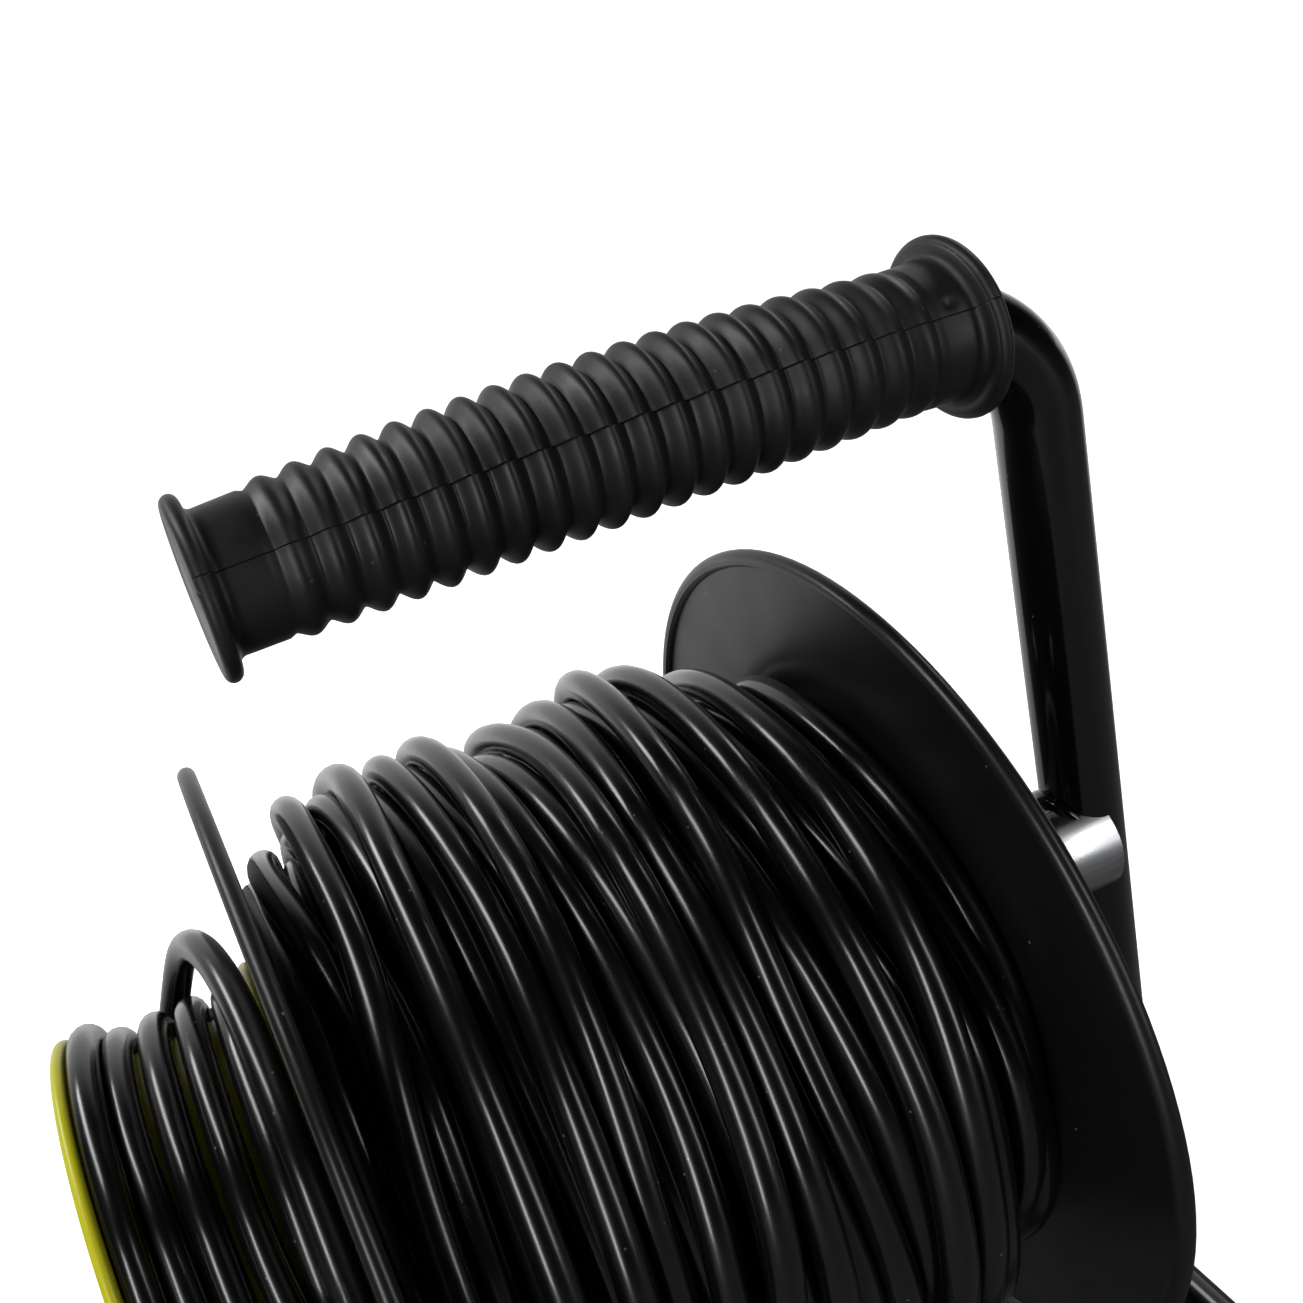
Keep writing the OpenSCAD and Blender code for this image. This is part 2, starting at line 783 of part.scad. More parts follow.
module main_tail() {
  color("#101012") swept_cord(main_route, cord_d, cord_sides);
}

module lead_tail() {
  color("#101012") swept_cord(lead_route, cord_d, cord_sides);
}

// ---- plug and socket ---------------------------------------------------------------------

// a moulded body along +Z, from its flat face to the cone that the boot sits on
module connector_body(l) {
  cylinder(d = plug_d, h = l);
  translate([0, 0, l]) cylinder(d1 = plug_d, d2 = 2 * boot_r + 3, h = cone_l);
}

// ribbed strain relief with the cord's bore
module boot() {
  rib_pitch = 5;
  difference() {
    union() {
      cylinder(r1 = boot_r, r2 = cord_d / 2 + 1, h = boot_l);
      for (k = [0 : 3]) translate([0, 0, 3 + k * rib_pitch])
        cylinder(r = boot_r - 0.25 * k, h = rib_pitch / 2);
    }
    translate([0, 0, boot_l - boot_bore]) cylinder(d = cord_d, h = boot_bore + 1);
  }
}

module in_socket() {
  at_rim(socket_angle, park_r, park_s) translate([0, 0, socket_front]) children();
}

module in_plug() {
  at_rim(plug_angle, park_r, park_s) mirror([0, 0, 1]) translate([0, 0, plug_front]) children();
}

module socket_body() {
  color(black) in_socket() difference() {
    connector_body(socket_l);
    translate([0, 0, -1]) cylinder(r = plug_d / 2 - recess_wall, h = recess_l + 1);
    for (y = [-pin_x, pin_x]) translate([0, y, recess_l - 1])
      cylinder(r = contact_r + 0.3, h = contact_l + 1);
  }
}

module socket_contacts() {
  earth_t = 1.6;
  earth_x = plug_d / 2 - recess_wall - 1.1;
  color("#c9a24a") in_socket() {
    for (y = [-pin_x, pin_x]) translate([0, y, recess_l + 3])
      ring(contact_r + 0.3, contact_r + 0.05, contact_l - 5);
    for (x = [-1, 1]) translate([x * earth_x - earth_t / 2, -earth_w / 2, recess_l - 13])
      cube([earth_t, earth_w, 13]);
  }
}

module socket_boot() {
  color("#222222") in_socket() translate([0, 0, socket_l + cone_l]) boot();
}

// the plug has an earth groove on each side
module plug_body() {
  groove_w = earth_w + 2;
  groove_l = 15;
  groove_t = 2;
  color(black) in_plug() difference() {
    connector_body(plug_l);
    for (x = [-1, 1]) translate([x * (plug_d / 2 - groove_t / 2) - groove_t / 2, -groove_w / 2, -1])
      cube([groove_t, groove_w, groove_l + 1]);
  }
}

module plug_pins() {
  color(steel) in_plug() for (y = [-pin_x, pin_x]) translate([0, y, contact_r - contact_l]) {
    cylinder(r = contact_r, h = contact_l - contact_r);
    sphere(r = contact_r);
  }
}

module plug_boot() {
  color("#222222") in_plug() translate([0, 0, plug_l + cone_l]) boot();
}

// C-shaped clips on the front flange, open towards the front
module park_clip() {
  translate([0, 0, -clip_l / 2]) difference() {
    union() {
      cylinder(r = clip_r + clip_wall, h = clip_l);
      translate([-clip_foot / 2, 0, 0]) cube([clip_foot, -park_s, clip_l]);
    }
    translate([0, 0, -1]) cylinder(r = clip_r, h = clip_l + 2);
    translate([-plug_d, -plug_d * 1.2, -1]) cube([2 * plug_d, plug_d, clip_l + 2]);
    translate([0, 0, clip_l / 2]) rotate([-90, 0, 0]) cylinder(d = clip_screw_d, h = -park_s + 1);
  }
}

module park_clips() {
  color(black) for (c = clip_places) at_rim(c[0], park_r, park_s) translate([0, 0, c[1]]) park_clip();
}

module clip_screws() {
  color(steel) for (c = clip_places) on_axis(park_s + clip_r) at_angle(c[0], park_r)
    translate([0, -c[1], 0]) cylinder(d = clip_screw_d, h = -park_s - clip_r + web_t);
}

handle_tube();
upright_tube();
base_front_tube();
base_rear_tube();
base_feet();
rubber_grip();
axle();
thrust_washer();
axle_washer();
axle_screw();
front_flange();
rear_flange();
drum_barrel();
front_bush();
rear_bush();
tie_screws();
tie_nuts();
spool_inner();
spool_outer();
spool_screws();
hub_cap();
crank_pin();
crank_nut();
crank_knob();
knob_cap();
thermal_cutout();
cutout_nut();
reset_button();
terminal_box();
terminal_lid();
terminal_block();
terminal_screws();
box_screws();
cord_clamps();
main_grommet();
lead_grommet();
main_coil();
lead_coil();
main_tail();
lead_tail();
socket_body();
socket_contacts();
socket_boot();
plug_body();
plug_pins();
plug_boot();
park_clips();
clip_screws();
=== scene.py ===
"""Looks of an extension cord reel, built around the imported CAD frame. Metres, +Z up."""

import json
import math

import bmesh
import bpy
import numpy as np
from mathutils import Matrix, Vector


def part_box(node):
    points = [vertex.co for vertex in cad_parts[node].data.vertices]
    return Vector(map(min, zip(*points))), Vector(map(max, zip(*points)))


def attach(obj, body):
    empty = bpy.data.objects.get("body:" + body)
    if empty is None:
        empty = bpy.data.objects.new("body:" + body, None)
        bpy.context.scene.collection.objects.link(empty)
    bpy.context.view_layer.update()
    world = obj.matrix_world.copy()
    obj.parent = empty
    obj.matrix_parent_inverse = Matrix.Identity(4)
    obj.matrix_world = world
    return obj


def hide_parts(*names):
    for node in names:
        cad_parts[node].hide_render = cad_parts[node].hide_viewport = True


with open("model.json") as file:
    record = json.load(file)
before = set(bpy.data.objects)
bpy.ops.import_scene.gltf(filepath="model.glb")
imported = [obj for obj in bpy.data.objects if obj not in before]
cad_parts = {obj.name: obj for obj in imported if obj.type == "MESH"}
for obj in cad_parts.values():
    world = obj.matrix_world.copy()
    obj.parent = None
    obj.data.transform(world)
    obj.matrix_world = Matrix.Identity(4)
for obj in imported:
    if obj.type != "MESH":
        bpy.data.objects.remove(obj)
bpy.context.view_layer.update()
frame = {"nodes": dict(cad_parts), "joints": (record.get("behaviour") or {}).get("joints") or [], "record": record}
NODES = frame["nodes"]
MM = 0.001

# ---- places taken from the frame -----------------------------------------------------------

AXIS_Z = next(j for j in frame["joints"] if j["name"] == "drum_spin")["pos_m"][2]
FRONT_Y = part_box("front_flange")[0].y
REAR_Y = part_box("rear_flange")[1].y
DRUM_W = (REAR_Y - FRONT_Y) / MM
BARREL_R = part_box("drum_barrel")[1].x / MM
CORD_D = 7.0
CORD_R = CORD_D / 2
HUB_START = 180  # the angle at which both cords leave their cores, in degrees
LEAD_IN = 6  # steps of a turn over which a cord comes out of its core
NODE_SHARP = 30  # degrees over which an edge of a CAD node stays sharp


def drum_point(angle, radius, s):
    """A point round the drum axis: degrees from +X towards +Z, and mm from the axis and along it."""
    a = math.radians(angle)
    return Vector((radius * math.cos(a) * MM, FRONT_Y + s * MM, AXIS_Z + radius * math.sin(a) * MM))


# ---- camera --------------------------------------------------------------------------------


def make_camera():
    """The camera that looks along the drum's side from above, close to the reel."""
    azimuth, elevation, roll = (math.radians(a) for a in (78.64, 22.36, -17.06))
    level = math.cos(elevation)
    back = Vector((math.sin(azimuth) * level, -math.cos(azimuth) * level, math.sin(elevation)))
    level_right = (-back).cross(Vector((0, 0, 1))).normalized()
    level_up = level_right.cross(-back)
    right = math.cos(roll) * level_right + math.sin(roll) * level_up
    up = -math.sin(roll) * level_right + math.cos(roll) * level_up
    data = bpy.data.cameras.new("camera")
    data.lens = 39.89
    data.shift_x = 0.1835
    data.shift_y = -0.0309
    data.clip_start = 0.01
    data.clip_end = 50
    camera = bpy.data.objects.new("camera", data)
    camera.matrix_world = Matrix((right, up, back)).transposed().to_4x4()
    camera.location = Vector((0.2511, FRONT_Y + 0.0027, AXIS_Z + 0.2230))
    bpy.context.scene.collection.objects.link(camera)
    bpy.context.scene.camera = camera


make_camera()

# ---- materials -----------------------------------------------------------------------------


def set_range(ramp, low, high, to_low, to_high):
    """The two ranges of a Map Range node."""
    for name, number in (("From Min", low), ("From Max", high), ("To Min", to_low), ("To Max", to_high)):
        ramp.inputs[name].default_value = number


class Shader:
    """A node material with one Principled shader, built up feature by feature."""

    def __init__(self, name, color, roughness, metallic=0.0, coat=0.0, coat_roughness=0.1, specular=0.5):
        self.material = bpy.data.materials.new(name)
        self.material.use_nodes = True
        self.tree = self.material.node_tree
        self.bsdf = self.tree.nodes["Principled BSDF"]
        self.color = (*color, 1)
        self.set("Base Color", self.color)
        self.set("Roughness", roughness)
        self.set("Metallic", metallic)
        self.set("Coat Weight", coat)
        self.set("Coat Roughness", coat_roughness)
        self.set("Specular IOR Level", specular)
        self.coords = self.node("ShaderNodeTexCoord").outputs["Object"]
        self.height = None

    def set(self, name, value):
        self.bsdf.inputs[name].default_value = value

    def node(self, kind, **values):
        made = self.tree.nodes.new(kind)
        for key, value in values.items():
            setattr(made, key, value)
        return made

    def link(self, a, b):
        self.tree.links.new(a, b)

    def noise(self, scale, detail=3.0, stretch=(1, 1, 1)):
        mapping = self.node("ShaderNodeMapping")
        mapping.inputs["Scale"].default_value = stretch
        self.link(self.coords, mapping.inputs["Vector"])
        noise = self.node("ShaderNodeTexNoise")
        noise.inputs["Scale"].default_value = scale
        noise.inputs["Detail"].default_value = detail
        self.link(mapping.outputs["Vector"], noise.inputs["Vector"])
        return noise.outputs["Fac"]

    def remap(self, value, low, high, to_low, to_high):
        ramp = self.node("ShaderNodeMapRange")
        set_range(ramp, low, high, to_low, to_high)
        self.link(value, ramp.inputs["Value"])
        return ramp.outputs["Result"]

    def vary_roughness(self, scale, low, high, stretch=(1, 1, 1)):
        level = self.remap(self.noise(scale, 4, stretch), 0.35, 0.65, low, high)
        self.link(level, self.bsdf.inputs["Roughness"])
        return self

    def vary_color(self, scale, other, amount=1.0):
        self.blend(self.remap(self.noise(scale, 5), 0.4, 0.65, 0, amount), other)
        return self

    def blend(self, factor, other):
        """Mixes another colour over what the base colour is so far."""
        mix = self.node("ShaderNodeMix", data_type="RGBA")
        self.link(factor, mix.inputs["Factor"])
        socket = self.bsdf.inputs["Base Color"]
        if socket.is_linked:
            self.link(socket.links[0].from_socket, mix.inputs["A"])
        else:
            mix.inputs["A"].default_value = self.color
        mix.inputs["B"].default_value = (*other, 1)
        self.link(mix.outputs["Result"], socket)

    def bump(self, scale, distance, detail=3.0):
        """Adds a layer of noise relief; distance is its depth in metres."""
        node = self.node("ShaderNodeBump")
        node.inputs["Distance"].default_value = distance
        self.link(self.noise(scale, detail), node.inputs["Height"])
        if self.height is not None:
            self.link(self.height, node.inputs["Normal"])
        self.height = node.outputs["Normal"]
        self.link(self.height, self.bsdf.inputs["Normal"])
        return self

    def dust(self, scale, share, color=(0.16, 0.15, 0.15)):
        """Sparse specks of dust: the middles of the cells of a fine cell pattern."""
        cells = self.node("ShaderNodeTexVoronoi")
        cells.inputs["Scale"].default_value = scale
        self.link(self.coords, cells.inputs["Vector"])
        near = self.remap(cells.outputs["Distance"], 0.06, 0.10, 1, 0)
        some = self.node("ShaderNodeMath", operation="LESS_THAN")
        some.inputs[1].default_value = share
        split = self.node("ShaderNodeSeparateColor")
        self.link(cells.outputs["Color"], split.inputs["Color"])
        self.link(split.outputs["Red"], some.inputs[0])
        both = self.node("ShaderNodeMath", operation="MULTIPLY")
        self.link(near, both.inputs[0])
        self.link(some.outputs["Value"], both.inputs[1])
        self.blend(both.outputs["Value"], color)
        return self


def make_materials():
    """Every finish of the reel, by name."""
    made = {}

    def add(name, *values, **facts):
        made[name] = Shader(name, *values, **facts)
        return made[name]

    paint = add("black_enamel", (0.003, 0.003, 0.0033), 0.16, coat=0.6, coat_roughness=0.06)
    paint.vary_roughness(60, 0.13, 0.20).bump(260, 0.00002).bump(1400, 0.000006).dust(420, 0.08)
    grip = add("grip_rubber", (0.0075, 0.0073, 0.0073), 0.46, specular=0.42)
    grip.vary_color(70, (0.012, 0.0115, 0.0112), 0.8).vary_roughness(90, 0.40, 0.54)
    grip.bump(2600, 0.000016).bump(160, 0.00005).dust(260, 0.05, (0.06, 0.056, 0.053))
    cord = add("cord_jacket", (0.0030, 0.0030, 0.0031), 0.25, coat=0.35, coat_roughness=0.13)
    cord.vary_roughness(55, 0.22, 0.30).bump(90, 0.00003, 1.0).bump(1800, 0.000003)
    cord.dust(330, 0.16, (0.10, 0.095, 0.09))
    flange = add("drum_plastic", (0.0055, 0.0055, 0.0057), 0.34, specular=0.5)
    flange.vary_color(30, (0.008, 0.008, 0.008), 0.7).vary_roughness(45, 0.30, 0.40)
    flange.bump(1500, 0.000008).bump(40, 0.00005).dust(300, 0.08)
    lime = add("lime_plastic", (0.64, 0.61, 0.010), 0.33)
    lime.vary_color(40, (0.58, 0.56, 0.008), 0.8).vary_roughness(60, 0.28, 0.42).bump(1500, 0.000015)
    foot = add("foot_rubber", (0.018, 0.018, 0.018), 0.62, specular=0.35)
    foot.vary_color(120, (0.030, 0.029, 0.028), 0.8).bump(1800, 0.00006)
    zinc = add("zinc_steel", (0.60, 0.61, 0.63), 0.30, metallic=1.0)
    zinc.vary_roughness(300, 0.22, 0.42, (1, 0.15, 1)).bump(1500, 0.000012)
    nylon = add("nylon", (0.74, 0.72, 0.64), 0.42)
    nylon.vary_color(80, (0.66, 0.63, 0.55), 0.6).bump(1500, 0.000015)
    dark = add("dark_plastic", (0.035, 0.035, 0.038), 0.45)
    dark.vary_color(60, (0.05, 0.05, 0.052), 0.7).bump(2200, 0.00003)
    red = add("red_plastic", (0.50, 0.012, 0.012), 0.30)
    red.vary_color(90, (0.42, 0.010, 0.010), 0.7).bump(1500, 0.00001)
    brass = add("brass", (0.72, 0.52, 0.22), 0.30, metallic=1.0)
    brass.vary_roughness(240, 0.24, 0.44).bump(1500, 0.000012)
    nickel = add("nickel", (0.70, 0.69, 0.66), 0.20, metallic=1.0)
    nickel.vary_roughness(240, 0.15, 0.30).bump(1500, 0.00001)
    plug = add("plug_plastic", (0.012, 0.012, 0.013), 0.36)
    plug.vary_color(60, (0.018, 0.018, 0.018), 0.7).vary_roughness(80, 0.30, 0.45).bump(2400, 0.00003)
    return {name: shader.material for name, shader in made.items()}


MATERIALS = make_materials()

SLOT_MATERIALS = {
    "black_paint": "black_enamel",
    "grip_rubber": "grip_rubber",
    "foot_rubber": "foot_rubber",
    "zinc_steel": "zinc_steel",
    "nylon": "nylon",
    "black_plastic": "drum_plastic",
    "lime_plastic": "lime_plastic",
    "dark_plastic": "dark_plastic",
    "red_plastic": "red_plastic",
    "brass": "brass",
    "nickel": "nickel",
    "cord_jacket": "cord_jacket",
    "connector_plastic": "plug_plastic",
}


def dress(piece, slot, body, *replaced):
    """Gives a new piece its finish, its body and the CAD nodes that it stands for."""
    piece.data.materials.append(MATERIALS[SLOT_MATERIALS[slot]])
    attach(piece, body)
    if replaced:
        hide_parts(*replaced)
    return piece


# ---- cords ---------------------------------------------------------------------------------

BINS = 120  # steps round the drum in one turn


def smooth(values, reach):
    """A running average over reach values on each side, heavier in the middle."""
    weights = np.hanning(2 * reach + 3)[1:-1]
    return np.convolve(np.pad(values, reach, mode="edge"), weights / weights.sum(), mode="valid")


def rest_height(laid_s, laid_r, s, core):
    """How far from the axis a cord at s lies on the core or on the turns laid before it."""
    gap = CORD_D**2 - (laid_s - s[:, None]) ** 2
    on_turns = np.where(gap > 0, laid_r + np.sqrt(np.maximum(gap, 0)), 0)
    return np.maximum(core, on_turns.max(1)) if laid_s.shape[1] else np.full(len(s), core)


def next_place(rng, here, way, low, high, height_over, steps):
    """The lowest place that the next turn can be led to, a step on in the same way or back."""
    ahead = [here + way * step for step in steps if low <= here + way * step <= high]
    if not ahead:
        way = -way
        ahead = [here + way * step for step in (4, 6, 8, 10)]
    return min(ahead, key=lambda s: height_over(s) + rng.uniform(0, 1.5)), way


def wind(turns, seed, start, core, low, high, wobble, choose, last=None):
    """Lays turns one after another on a core: each slips off what is under it and rests on it.

    choose picks the place that a turn ends at; last is where the last turn ends, if that is given.
    Returns the cord's places s and distances r, BINS a turn, in the order it was laid."""
    slow, quick = 0.12, 0.05  # shares of a turn over which a jump to the turn before fades out
    rng = np.random.default_rng(seed)
    part = np.arange(BINS) / BINS
    ease = part * part * (3 - 2 * part)
    laid_s = np.zeros((BINS, 0))
    laid_r = np.zeros((BINS, 0))
    here, way, end_s, end_r = start, 1, start, core

    def wave():
        size, phase = rng.normal(0, 1, 2), rng.uniform(0, 2 * math.pi, 2)
        once = size[0] * np.sin(2 * math.pi * part + phase[0])
        return once + 0.45 * size[1] * np.sin(4 * math.pi * part + phase[1])

    old_wave = wave()
    for turn in range(turns):
        done = (turn + 1) / turns
        place, way = choose(rng, turn, done, here, way, laid_s, laid_r)
        if last is not None and turn >= turns - 2:
            place = here + (last - here) / (turns - turn)
        new_wave = wave()
        size = wobble * (0.35 + 0.65 * done)
        s = here + (place - here) * part + size * (old_wave * (1 - ease) + new_wave * ease)
        s = s + (end_s - s[0]) * np.exp(-part / slow)
        for _ in range(6):
            before, after = (rest_height(laid_s, laid_r, s + side, core) for side in (-1, 1))
            slope = before - after
            s = smooth(np.clip(s + np.clip(0.35 * slope, -1, 1), low, high), 7)
            s = s + (end_s - s[0]) * np.exp(-part / quick)
        s = np.clip(s, low, high)
        under = rest_height(laid_s, laid_r, s, core)
        r = under
        for _ in range(4):
            r = np.maximum(under, smooth(r, 6))
        r = smooth(r, 3)
        r = r + (end_r - r[0]) * np.exp(-part / quick)
        laid_s = np.concatenate([laid_s, s[:, None]], 1)
        laid_r = np.concatenate([laid_r, r[:, None]], 1)
        here, old_wave, end_s, end_r = place, new_wave, 2 * s[-1] - s[-2], r[-1]
    return laid_s.T.ravel(), laid_r.T.ravel()


def route_steps(route, step):
    """A given route of [angle, distance, s] points, at even angles a step apart."""
    angles = np.array([p[0] for p in route], float)
    if angles[-1] < angles[0]:
        step = -step
    even = np.arange(angles[0], angles[-1], step)
    order = np.argsort(angles)
    table = np.array(route, float)[order]
    r = np.interp(even, table[:, 0], table[:, 1])
    s = np.interp(even, table[:, 0], table[:, 2])
    return np.append(even, angles[-1]), np.append(r, route[-1][1]), np.append(s, route[-1][2])


def ramp_to(values, goal, count):
    """Leads the last count values over to a goal, gently."""
    share = np.zeros(len(values))
    t = np.linspace(0, 1, count)
    share[-count:] = t * t * (3 - 2 * t)
    return values + share * (goal - values[-1])


def joined_path(direction, s, r, route):
    """The winding and the loose end behind it as one row of points, with a lead-in from the core."""
    step = 360 / BINS
    angles = HUB_START + direction * step * np.arange(len(s))
    turn_end = route[0][0]
    spare = int(round(((direction * (angles[-1] - turn_end)) % 360) / step))
    keep = len(s) - spare
    s = ramp_to(s[:keep], route[0][2], BINS // 5)
    r = ramp_to(r[:keep], route[0][1], BINS // 5)
    angles = angles[:keep]
    tail_a, tail_r, tail_s = route_steps(route, step)
    angles = np.concatenate([angles, angles[-1] + (tail_a[1:] - tail_a[0])])
    r = np.concatenate([r, tail_r[1:]])
    s = np.concatenate([s, tail_s[1:]])
    r[1:-1] = smooth(r, 3)[1:-1]
    s[1:-1] = smooth(s, 3)[1:-1]
    back = np.arange(LEAD_IN, 0, -1)
    angles = np.concatenate([angles[0] - direction * step * back, angles])
    sunk = CORD_D * 0.6
    r = np.concatenate([r[0] - sunk * (back / LEAD_IN) ** 2, r])
    s = np.concatenate([np.full(LEAD_IN, s[0]), s])
    return [drum_point(a, q, z) for a, q, z in zip(angles, r, s)]


def curve_tube(name, points, radius, cyclic=False, sides=6):
    """A round tube along a row of points, with closed ends."""
    data = bpy.data.curves.new(name, "CURVE")
    data.dimensions = "3D"
    spline = data.splines.new("POLY")
    spline.points.add(len(points) - 1)
    spline.points.foreach_set("co", [c for p in points for c in (*p, 1)])
    spline.use_cyclic_u = cyclic
    spline.use_smooth = True
    data.bevel_depth = radius
    data.bevel_resolution = sides
    data.use_fill_caps = not cyclic
    piece = bpy.data.objects.new(name, data)
    bpy.context.scene.collection.objects.link(piece)
    return piece


# the loose ends, from the winding to the plug or socket: degrees round the axis, mm from it, s
MAIN_ROUTE = [
    [348, 79, 13], [342, 80, 13], [334, 81, 13], [326, 82, 13], [318, 83.5, 13], [310, 85, 12],
    [302, 86, 10], [294, 87, 6], [286, 87, 0], [278, 87, -7], [270, 87, -13], [263, 87, -16],
    [256, 86, -19], [250, 83.5, -21], [245, 80.5, -22], [241, 78, -22],
]  # fmt: skip
LEAD_ROUTE = [
    [-50, 51.8, -16], [-35, 53.2, -11], [-20, 54.6, -7.2], [-5, 55.2, -5.2], [10, 55.6, -4.4],
    [25, 56, -4.2], [40, 56.5, -4.1], [55, 57, -4.1], [70, 57.3, -4.2], [84, 57.6, -4.8],
    [95, 58.3, -6], [106, 58.9, -8], [117, 58.9, -10.5], [128, 57.8, -13], [139, 55.8, -16],
    [150, 53.6, -19.5], [161, 52, -23.5], [172, 51.2, -27], [184, 50.9, -30.5], [197, 50.9, -32],
    [210, 50.9, -32], [221, 51.5, -32], [230, 53.6, -31.5],
    [239, 57.8, -30], [246, 62.8, -28.5], [251.5, 68, -27], [257, 74, -25], [262, 79, -23.5],
    [267.5, 83.2, -22.5], [273, 86.5, -22], [278.5, 89, -22], [284, 90.5, -22], [289.5, 91, -22],
    [295, 90.5, -22], [300.5, 89, -22], [306, 86.5, -22], [311.5, 83.5, -22], [316, 80, -22],
]  # fmt: skip


def make_main_cord():
    """The long cord, loosely wound on the drum, with its end led out to the parked socket."""
    turns, seed, wobble = 69, 12, 3.0
    late_turns = 16  # the last turns, which take longer steps along the drum
    start, last = 18.0, 13.0
    margin = 6.3
    low, high = margin, DRUM_W - margin
    core = BARREL_R + CORD_R
    fill_s = [6, 20, 30, 38, 56, 68, 76, 90, 108, 118, 131]
    fill_r = [75, 74, 74, 73, 78, 80, 76, 79, 76, 77, 77]

    def choose(rng, turn, done, here, way, laid_s, laid_r):
        def height_over(s):
            wanted = core + (np.interp(s, fill_s, fill_r) - core) * done
            return rest_height(laid_s, laid_r, np.full(BINS, float(s)), core).mean() - wanted

        steps = (5.5, 7, 9, 11, 13) if turn < turns - late_turns else (9, 12, 15, 18)
        place, way = next_place(rng, here, way, low, high, height_over, steps)
        return min(place, last + 10 * (turns - 1 - turn)), way

    s, r = wind(turns, seed, start, core, low, high, wobble, choose, last)
    points = joined_path(-1, s, r, MAIN_ROUTE)
    cord = curve_tube("main_cord", points, CORD_R * MM)
    dress(cord, "cord_jacket", "drum", "main_coil", "main_tail")
    drum_point(HUB_START, BARREL_R, start)


def make_lead_cord():
    """The plug lead: one layer of turns on the lime spool, a last turn over them and a raised loop."""
    core = 45.0
    places = [-7.2, -14.9, -22.6, -30.3, -38.0, 20.0]

    def choose(rng, turn, done, here, way, laid_s, laid_r):
        return places[turn], way

    s, r = wind(6, 5, -9.0, core, -38.3, -6.7, 0.35, choose)
    points = joined_path(1, s, r, LEAD_ROUTE)
    cord = curve_tube("lead_cord", points, CORD_R * MM)
    dress(cord, "cord_jacket", "drum", "lead_coil", "lead_tail")


make_main_cord()
make_lead_cord()

# ---- mesh helpers --------------------------------------------------------------------------


def mesh_piece(name, vertices, faces, sharp_angle=38):
    """A mesh object, smooth but for its edges over the sharp angle."""
    data = bpy.data.meshes.new(name)
    data.from_pydata([tuple(v) for v in vertices], [], faces)
    data.validate()
    made = bmesh.new()
    made.from_mesh(data)
    bmesh.ops.remove_doubles(made, verts=made.verts, dist=1e-7)
    bmesh.ops.recalc_face_normals(made, faces=made.faces)
    for face in made.faces:
        face.smooth = True
    for edge in made.edges:
        if len(edge.link_faces) == 2 and edge.calc_face_angle(0) > math.radians(sharp_angle):
            edge.smooth = False
    made.to_mesh(data)
    made.free()
    piece = bpy.data.objects.new(name, data)
    bpy.context.scene.collection.objects.link(piece)
    return piece


def even_angles(count, extra=()):
    """Angles round a circle in degrees, with close pairs either side of each extra angle."""
    angles = set(np.linspace(0, 360, count, endpoint=False).round(4))
    for middle in extra:
        for offset in (-0.6, -0.25, 0.25, 0.6):
            angles.add(round((middle + offset) % 360, 4))
    return np.array(sorted(angles))


def lathe(outline, angles, place, relief=None):
    """Vertices and faces of an open outline [(along, radius)] turned round an axis, ends closed.

    place(along, radius, angle) gives the point; relief(index, angle) adds to the radius."""
    vertices, faces = [], []
    n, m = len(outline), len(angles)
    for i, (along, radius) in enumerate(outline):
        for angle in angles:
            more = relief(i, angle) if relief else 0.0
            vertices.append(place(along, radius + more, angle))
    for i in range(n - 1):
        for k in range(m):
            beside = (k + 1) % m
            faces.append((i * m + k, i * m + beside, (i + 1) * m + beside, (i + 1) * m + k))
    faces.append(tuple(range(m - 1, -1, -1)))
    faces.append(tuple((n - 1) * m + k for k in range(m)))
    return vertices, faces


def arc(centre, radius, start, end, count):
    """Points (along, radius) of an arc, degrees from the along direction."""
    turned = np.radians(np.linspace(start, end, count))
    return [(centre[0] + radius * math.cos(t), centre[1] + radius * math.sin(t)) for t in turned]


# ---- grip ----------------------------------------------------------------------------------


